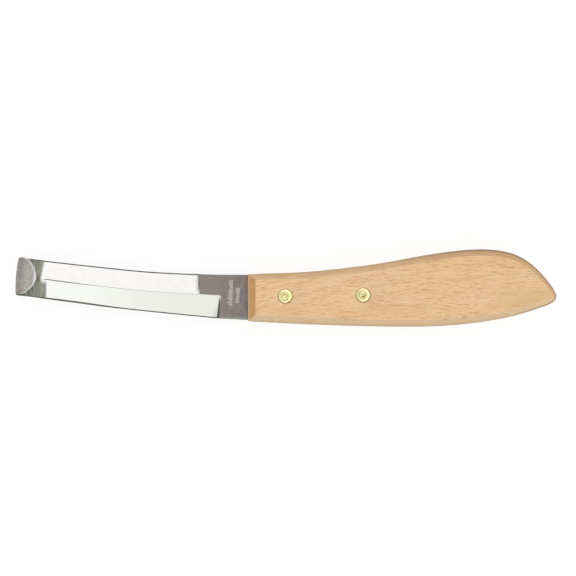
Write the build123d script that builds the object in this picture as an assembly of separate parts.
"""Double-edged hoof knife with a rolled hook tip and a riveted one-piece wooden handle.

The knife lies on the flat back of its handle. +X runs along the knife to the butt, +Y runs
across the width towards the upper cutting edge, and +Z points up, the way the hook rolls.
The origin is on the handle's back face, midway between the two rivets. Sizes are in mm.
"""
from build123d import *
import math
import os

# ---- driving dimensions -------------------------------------------------------------------
HANDLE_THICKNESS = 17.0
HANDLE_FRONT_X = -31.7
CHAMFER = 2.8              # along the top, the butt and the bottom of both flat faces
FRONT_CHAMFER = 3.2        # on the end that the blade comes out of
FRONT_CORNER_RADIUS = 1.0  # its lower corner

STEEL = 2.5                # stock thickness of tang and blade root
HOOK_STEEL = 1.9           # thickness where the blade has been drawn down for the hook
BLADE_Z = HANDLE_THICKNESS / 2
BOW_START_X = -36.0        # the blade leaves the tang's plane here
BOW_RADIUS = 1100.0        # gentle bow towards the hook side
HOOK_OUTER_RADIUS = 5.4
HOOK_LEFT_X = -127.8       # outermost point of the roll, at mid width
HOOK_MID_Y = 7.0
HOOK_TILT_DEG = 4.5        # the roll's axis against the Y axis
HOOK_PAST_TOP_DEG = 42.0   # how far the strip curls past the top of the roll
TONGUE_BEVEL = 0.7

BEVEL_SAG = 0.1            # hollow of each ground bevel
GRIND_EDGE = 0.6           # thickness left by the hollow grind, before honing
HONED_WIDTH = 0.55         # honed strip along each cutting edge
HONED_DEG = 38.0
RIDGE_DROP_TIP = 0.3       # how far the ridge lies under the flat faces at the hook
RIDGE_DROP_ROOT = 0.03     # and at the handle end
UPPER_GRIND = (-117.6, -52.0)   # first and last x of the upper bevel, along the ridge
LOWER_GRIND = (-115.6, -43.0)
LOWER_END_LEAN_DEG = 6.3   # the lower bevel's handle end leans back towards the edge
GRIND_RUNOUT = 2.4         # length over which the wheel leaves the steel at the handle end
HOOK_RUNOUT = 4.0          # and under the hook

TANG_END_X = 28.0
SAW_RADIUS = 60.0          # the saw slot and the tang both end in an arc of this size
SLOT_CLEARANCE = 0.05      # each side of the tang
SLOT_END_X = 29.5

RIVET_X = 16.2             # each side of the origin
RIVET_Y = 0.22             # the rivet line climbs by this much each side of the origin
PIN_RADIUS = 1.25
PIN_HOLE_RADIUS = 1.28
PIN_HEAD_RADIUS = 2.8
PIN_HEAD_DEPTH = 0.9
PIN_HEAD_SUNK = 0.12       # the head lies this far inside the handle's back face
PIN_CROWN = 0.16           # rise of the peened end over its rim
TANG_HOLE_RADIUS = 1.35
WASHER_RADIUS = 2.82
WASHER_RIM = 0.66          # height of the washer above its seat
DISH_RADIUS = 1.75         # the washer's hole opens out to this for the peened pin
DISH_THROAT = 0.34         # height above the seat at which it starts to open
SEAT_RADIUS = 3.0
SEAT_DEPTH = 0.78
FIT = 0.03                 # clearance round a peened or seated part

TILT = math.tan(math.radians(HOOK_TILT_DEG))

# ---- outlines, seen from above -------------------------------------------------------------
HANDLE_TOP = [(-40.0, 8.6), (-25.1, 9.05), (-11.8, 9.5), (8.2, 11.3), (28.1, 14.15),
              (48.1, 17.6), (65.0, 19.2), (78.0, 17.6), (88.0, 11.6)]
HANDLE_BOTTOM = [(74.7, -9.5), (54.7, -12.3), (34.8, -13.05), (14.8, -12.75), (-11.8, -11.75),
                 (-25.1, -11.1), (-40.0, -10.3)]
BUTT_CENTRE = (93.7, -0.3)
BUTT_RADIUS = 3.0
BUTT_ARC_DEG = (35.0, -64.5)    # from the +X direction, where the arc meets the two sides

EDGE_TOP = [(-130.0, 16.2), (-103.2, 12.96), (-83.3, 10.85), (-63.3, 9.36), (-50.0, 8.82),
            (-36.7, 8.6)]
EDGE_BOTTOM = [(-130.0, 0.62), (-103.2, -3.24), (-83.3, -5.73), (-63.3, -7.8), (-50.0, -9.07),
               (-36.7, -9.97)]
TANG_TOP = [(-25.0, 8.65), (-11.8, 9.1), (8.2, 10.9), (26.6, 13.4)]
TANG_BOTTOM = [(-25.0, -10.6), (-11.8, -11.3), (8.2, -12.1), (26.6, -12.5)]
RIDGE = [(-123.2, 7.7), (-109.9, 5.9), (-89.9, 3.5), (-76.6, 2.1), (-63.3, 1.1), (-52.1, 0.5),
         (-43.1, 0.0), (-36.0, -0.3)]
# the tongue's ground end, from its upper corner round to its lower corner
TONGUE_END = [(-124.9, 15.9), (-121.6, 13.9), (-120.3, 10.7), (-119.65, 7.1), (-120.3, 5.5),
              (-122.3, 2.7), (-124.6, 0.9), (-126.4, -0.6)]


def curve_y(points, x):
    """Height of the smooth curve through points at x."""
    curve = Spline(*points)
    low, high = 0.0, 1.0
    for _ in range(30):
        middle = (low + high) / 2
        if (curve @ middle).X < x:
            low = middle
        else:
            high = middle
    return (curve @ low).Y


# ---- the strip that the blade is made of: tang, bow and roll ---------------------------------
def bow_angle(x):
    """Slope of the bowed blade at x, in radians."""
    return math.asin(max(0.0, BOW_START_X - x) / BOW_RADIUS)


def bow_rise(x):
    """Height of the blade's mid plane at x over the tang's mid plane."""
    return BOW_RADIUS * (1 - math.cos(bow_angle(x)))


def steel_thickness(x):
    """Thickness of the unground blade at x: the stock, drawn down towards the hook."""
    share = min(1.0, max(0.0, (BOW_START_X - x) / (BOW_START_X - HOOK_LEFT_X)))
    return STEEL + (HOOK_STEEL - STEEL) * share


def front_z(x, y):
    """Height of the unground hook-side face at x and y."""
    along = x - (y - HOOK_MID_Y) * TILT
    return BLADE_Z + bow_rise(along) + steel_thickness(along) / 2


def back_z(x, y):
    """Height of the back face at x and y."""
    along = x - (y - HOOK_MID_Y) * TILT
    return BLADE_Z + bow_rise(along) - steel_thickness(along) / 2


def roll_centre():
    """Centre of the roll in the side view, and the slope of the blade where it starts."""
    mean_radius = HOOK_OUTER_RADIUS - HOOK_STEEL / 2
    centre_x = HOOK_LEFT_X + HOOK_OUTER_RADIUS
    start_x = centre_x + mean_radius * math.sin(-bow_angle(centre_x))
    slope = bow_angle(start_x)
    centre_z = BLADE_Z + bow_rise(start_x) + mean_radius * math.cos(slope)
    return centre_x, centre_z, slope


def side_profile():
    """Closed outline of the strip in the side view."""
    centre_x, centre_z, slope = roll_centre()
    outer = HOOK_OUTER_RADIUS
    inner = HOOK_OUTER_RADIUS - HOOK_STEEL

    def on_roll(radius, degrees_from_top):
        turn = math.radians(degrees_from_top)
        return (centre_x + radius * math.sin(turn), centre_z + radius * math.cos(turn))

    start = -180.0 + math.degrees(slope)
    end = HOOK_PAST_TOP_DEG
    middle = (start + end) / 2
    low, high = BLADE_Z - STEEL / 2, BLADE_Z + STEEL / 2
    tang_x = TANG_END_X + 5
    half_x = (BOW_START_X + centre_x) / 2
    lines = [
        Line((tang_x, low), (BOW_START_X, low)),
        ThreePointArc((BOW_START_X, low), (half_x, back_z(half_x, HOOK_MID_Y)),
                      on_roll(outer, start)),
        ThreePointArc(on_roll(outer, start), on_roll(outer, middle), on_roll(outer, end)),
        Line(on_roll(outer, end), on_roll(inner, end)),
        ThreePointArc(on_roll(inner, end), on_roll(inner, middle), on_roll(inner, start)),
        ThreePointArc(on_roll(inner, start), (half_x, front_z(half_x, HOOK_MID_Y)),
                      (BOW_START_X, high)),
        Line((BOW_START_X, high), (tang_x, high)),
        Line((tang_x, high), (tang_x, low)),
    ]
    return make_face(Curve() + lines)


def strip():
    """The rolled strip, much wider than the blade, along the tilted axis of the roll."""
    start_y = -20.0
    start = Plane(origin=((start_y - HOOK_MID_Y) * TILT, start_y, 0), x_dir=(1, 0, 0),
                  z_dir=(0, -1, 0))
    return extrude(start * side_profile(), amount=45, dir=Vector(TILT, 1, 0).normalized())


def blade_outline():
    """Blade and tang seen from above."""
    top = Spline(*EDGE_TOP, *TANG_TOP)
    end = ThreePointArc(TANG_TOP[-1], (TANG_END_X, 0.4), TANG_BOTTOM[-1])
    bottom = Spline(*reversed(TANG_BOTTOM), *reversed(EDGE_BOTTOM))
    front = Line(EDGE_BOTTOM[0], EDGE_TOP[0])
    return make_face(Curve() + [top, end, bottom, front])


# ---- the two ground bevels -------------------------------------------------------------------
def ridge_drop(x):
    """Depth of the ridge under the hook-side face at x."""
    share = (x - UPPER_GRIND[0]) / (LOWER_GRIND[1] - UPPER_GRIND[0])
    return RIDGE_DROP_TIP + (RIDGE_DROP_ROOT - RIDGE_DROP_TIP) * min(1.0, max(0.0, share))


def grind_section(edge, side, x, lean, depth_share):
    """Section through the grinding cut; side is 1 for the upper bevel and -1 for the lower.

    The section crosses the ridge at x and leans by the given slope towards the edge. At a
    depth_share of 0 its floor lies level with the unground face.
    """
    reach, above = 2.0, 1.2
    ridge_y = curve_y(RIDGE, x)
    edge_y = curve_y(edge, x)
    edge_y = curve_y(edge, x + lean * (edge_y - ridge_y))
    top = front_z(x, ridge_y)
    edge_top = front_z(x, edge_y)
    ridge_z = top - depth_share * ridge_drop(x)
    edge_z = edge_top - depth_share * (edge_top - back_z(x, edge_y) - GRIND_EDGE)
    honed_y = edge_y - side * HONED_WIDTH
    slope = (ridge_z - edge_z) / abs(honed_y - ridge_y)
    fall = depth_share * math.tan(math.radians(HONED_DEG)) * (HONED_WIDTH + reach)

    def point(y, z):
        return (x + lean * (y - ridge_y), y, z)

    inner = point(ridge_y - side * reach, ridge_z + slope * reach + (1 - depth_share) * 0.05)
    middle = point((ridge_y + honed_y) / 2, (ridge_z + edge_z) / 2 - depth_share * BEVEL_SAG)
    honed = point(honed_y, edge_z)
    outer = point(edge_y + side * reach, edge_z - fall)
    outer_top = point(edge_y + side * reach, edge_top + above)
    inner_top = point(ridge_y - side * reach, top + above)
    wire = Wire([ThreePointArc(inner, middle, honed), Line(honed, outer), Line(outer, outer_top),
                 Line(outer_top, inner_top), Line(inner_top, inner)])
    return Face(wire)


def runout_share(distance, length):
    """Share of the full depth left at a distance into a round run-out of this length."""
    return math.sqrt(max(0.0, 1 - (distance / length) ** 2))


def grind(edge, side, span, lean_deg):
    """Grinding cut for one bevel: even along the span, running out at both ends."""
    first, last = span
    lean = math.tan(math.radians(lean_deg))
    count = 6
    even = []
    for i in range(count):
        share = i / (count - 1)
        x = first + (last - GRIND_RUNOUT - first) * share
        even.append(grind_section(edge, side, x, lean * share, 1.0))
    hook_end, handle_end = [], []
    for share in (0.0, 0.45, 0.8, 0.999):
        x = first - HOOK_RUNOUT * share
        hook_end.append(grind_section(edge, side, x, 0.0, runout_share(share, 1)))
        x = last - GRIND_RUNOUT * (1 - share)
        handle_end.append(grind_section(edge, side, x, lean, runout_share(share, 1)))
    return [loft(even), loft(hook_end), loft(handle_end)]


def tongue_cut():
    """Everything over the blade beyond the tongue's ground end."""
    first, last = TONGUE_END[0], TONGUE_END[-1]
    around = Polyline(last, (last[0], -6), (-106, -6), (-106, 24), (first[0], 24), first)
    outline = make_face(Curve() + [Spline(*TONGUE_END), around])
    centre_z = roll_centre()[1]
    return Pos(0, 0, centre_z) * extrude(outline, amount=2 * HOOK_OUTER_RADIUS)


def bevel_tongue(blade):
    """Grind the tongue's end back from outside, which leaves its inner edge sharp."""
    level = roll_centre()[1] + HOOK_OUTER_RADIUS / 2
    high = blade.edges().filter_by(lambda edge: (edge @ 0.5).Z > level)
    outer = max(high, key=lambda edge: edge.length)
    return chamfer(outer, TONGUE_BEVEL)


def rivet_places():
    """Where the two rivets stand, front one first."""
    return [Pos(-RIVET_X, -RIVET_Y, 0), Pos(RIVET_X, RIVET_Y, 0)]


def make_blade():
    """Hook, double-edged blade, ricasso and flat tang, forged in one piece."""
    blade = strip() & extrude(blade_outline(), amount=40)
    blade -= tongue_cut()
    blade = bevel_tongue(blade)
    for cut in grind(EDGE_TOP, 1, UPPER_GRIND, 0.0):
        blade -= cut
    for cut in grind(EDGE_BOTTOM, -1, LOWER_GRIND, LOWER_END_LEAN_DEG):
        blade -= cut
    for place in rivet_places():
        blade -= place * Cylinder(TANG_HOLE_RADIUS, 60)
    return blade


# ---- handle ----------------------------------------------------------------------------------
def on_butt(degrees):
    """Point and clockwise direction on the butt's arc."""
    turn = math.radians(degrees)
    across, up = math.cos(turn), math.sin(turn)
    point = (BUTT_CENTRE[0] + BUTT_RADIUS * across, BUTT_CENTRE[1] + BUTT_RADIUS * up)
    return point, (up, -across)


def handle_outline():
    """Handle seen from above, over-long at the front: a broad swell and a pointed butt."""
    upper, upper_way = on_butt(BUTT_ARC_DEG[0])
    middle, _ = on_butt(sum(BUTT_ARC_DEG) / 2)
    lower, lower_way = on_butt(BUTT_ARC_DEG[1])
    top = Spline(*HANDLE_TOP, upper, tangents=[(1, 0.03), upper_way])
    arc = ThreePointArc(upper, middle, lower)
    bottom = Spline(lower, *HANDLE_BOTTOM, tangents=[lower_way, (-1, 0.05)])
    front = Line(HANDLE_BOTTOM[-1], HANDLE_TOP[0])
    return make_face(Curve() + [top, arc, bottom, front])


def front_cuts():
    """Block that trims the handle's front end, and the prisms that bevel its long edges."""
    side = math.sqrt(2) * FRONT_CHAMFER
    prism = Rot(0, 45, 0) * Box(side, 60, side)
    block = Pos(HANDLE_FRONT_X - 10, 0, BLADE_Z) * Box(20, 60, 60)
    return [block] + [Pos(HANDLE_FRONT_X, 0, z) * prism for z in (0, HANDLE_THICKNESS)]


def tang_slot():
    """Saw slot for the tang, open at the front, the top and the bottom."""
    thickness = STEEL + 2 * SLOT_CLEARANCE
    return Pos(SLOT_END_X - SAW_RADIUS, 0, BLADE_Z) * Cylinder(SAW_RADIUS, thickness)


def make_handle():
    """One-piece wooden handle with its saw slot and rivet holes."""
    body = extrude(handle_outline(), amount=HANDLE_THICKNESS)
    rims = body.faces().filter_by(Axis.Z).edges().filter_by(GeomType.LINE, reverse=True)
    body = chamfer(rims, CHAMFER)
    for cut in front_cuts():
        body -= cut
    front = body.faces().sort_by(Axis.X)[0]
    body = fillet(front.edges().sort_by(Axis.Y)[0], FRONT_CORNER_RADIUS)
    body -= tang_slot()
    for place in rivet_places():
        body -= place * Cylinder(PIN_HOLE_RADIUS, 60)
        body -= place * Pos(0, 0, HANDLE_THICKNESS) * Cylinder(SEAT_RADIUS, 2 * SEAT_DEPTH)
        depth = PIN_HEAD_SUNK + PIN_HEAD_DEPTH + FIT
        body -= place * Cylinder(PIN_HEAD_RADIUS + FIT, 2 * depth)
    return body


# ---- rivets ----------------------------------------------------------------------------------
def make_washer(place):
    """Domed brass washer with a dished hole, standing in its seat in the wood."""
    seat = HANDLE_THICKNESS - SEAT_DEPTH + FIT
    shoulder = (WASHER_RADIUS, seat + 0.36)
    crown = (2.1, seat + WASHER_RIM)
    profile = Curve() + [
        Polyline(crown, (DISH_RADIUS, seat + WASHER_RIM), (PIN_HOLE_RADIUS, seat + DISH_THROAT),
                 (PIN_HOLE_RADIUS, seat), (WASHER_RADIUS, seat), shoulder),
        ThreePointArc(shoulder, (2.6, seat + 0.58), crown),
    ]
    return place * revolve(Plane.XZ * make_face(profile), Axis.Z)


def make_pin(place):
    """Brass pin: flat head sunk in the back of the handle, far end peened into the washer."""
    seat = HANDLE_THICKNESS - SEAT_DEPTH + FIT
    head_top = PIN_HEAD_SUNK + PIN_HEAD_DEPTH
    flare = (DISH_RADIUS - 2 * FIT, seat + WASHER_RIM)
    crown = (0, seat + WASHER_RIM + PIN_CROWN)
    crown_radius = (flare[0] ** 2 + PIN_CROWN ** 2) / (2 * PIN_CROWN)
    half_turn = math.asin(flare[0] / crown_radius) / 2
    between = (crown_radius * math.sin(half_turn),
               crown[1] - crown_radius * (1 - math.cos(half_turn)))
    profile = Curve() + [
        Polyline(crown, (0, PIN_HEAD_SUNK), (PIN_HEAD_RADIUS, PIN_HEAD_SUNK),
                 (PIN_HEAD_RADIUS, head_top), (PIN_RADIUS, head_top),
                 (PIN_RADIUS, seat + DISH_THROAT), flare),
        ThreePointArc(flare, between, crown),
    ]
    return place * revolve(Plane.XZ * make_face(profile), Axis.Z)


def save(node, shape):
    """Write one piece as its own STEP file, carrying the node's name."""
    solids = shape.solids()
    solid = max(solids, key=lambda s: s.volume)
    print(node, len(solids), round(solid.volume, 2), solid.bounding_box())
    solid.label = node
    export_step(solid, f"parts/{node}.step")


os.makedirs("parts", exist_ok=True)
save("blade", make_blade())
save("handle", make_handle())
for name, rivet_place in zip(("front", "rear"), rivet_places()):
    save(f"{name}_washer", make_washer(rivet_place))
    save(f"{name}_rivet", make_pin(rivet_place))
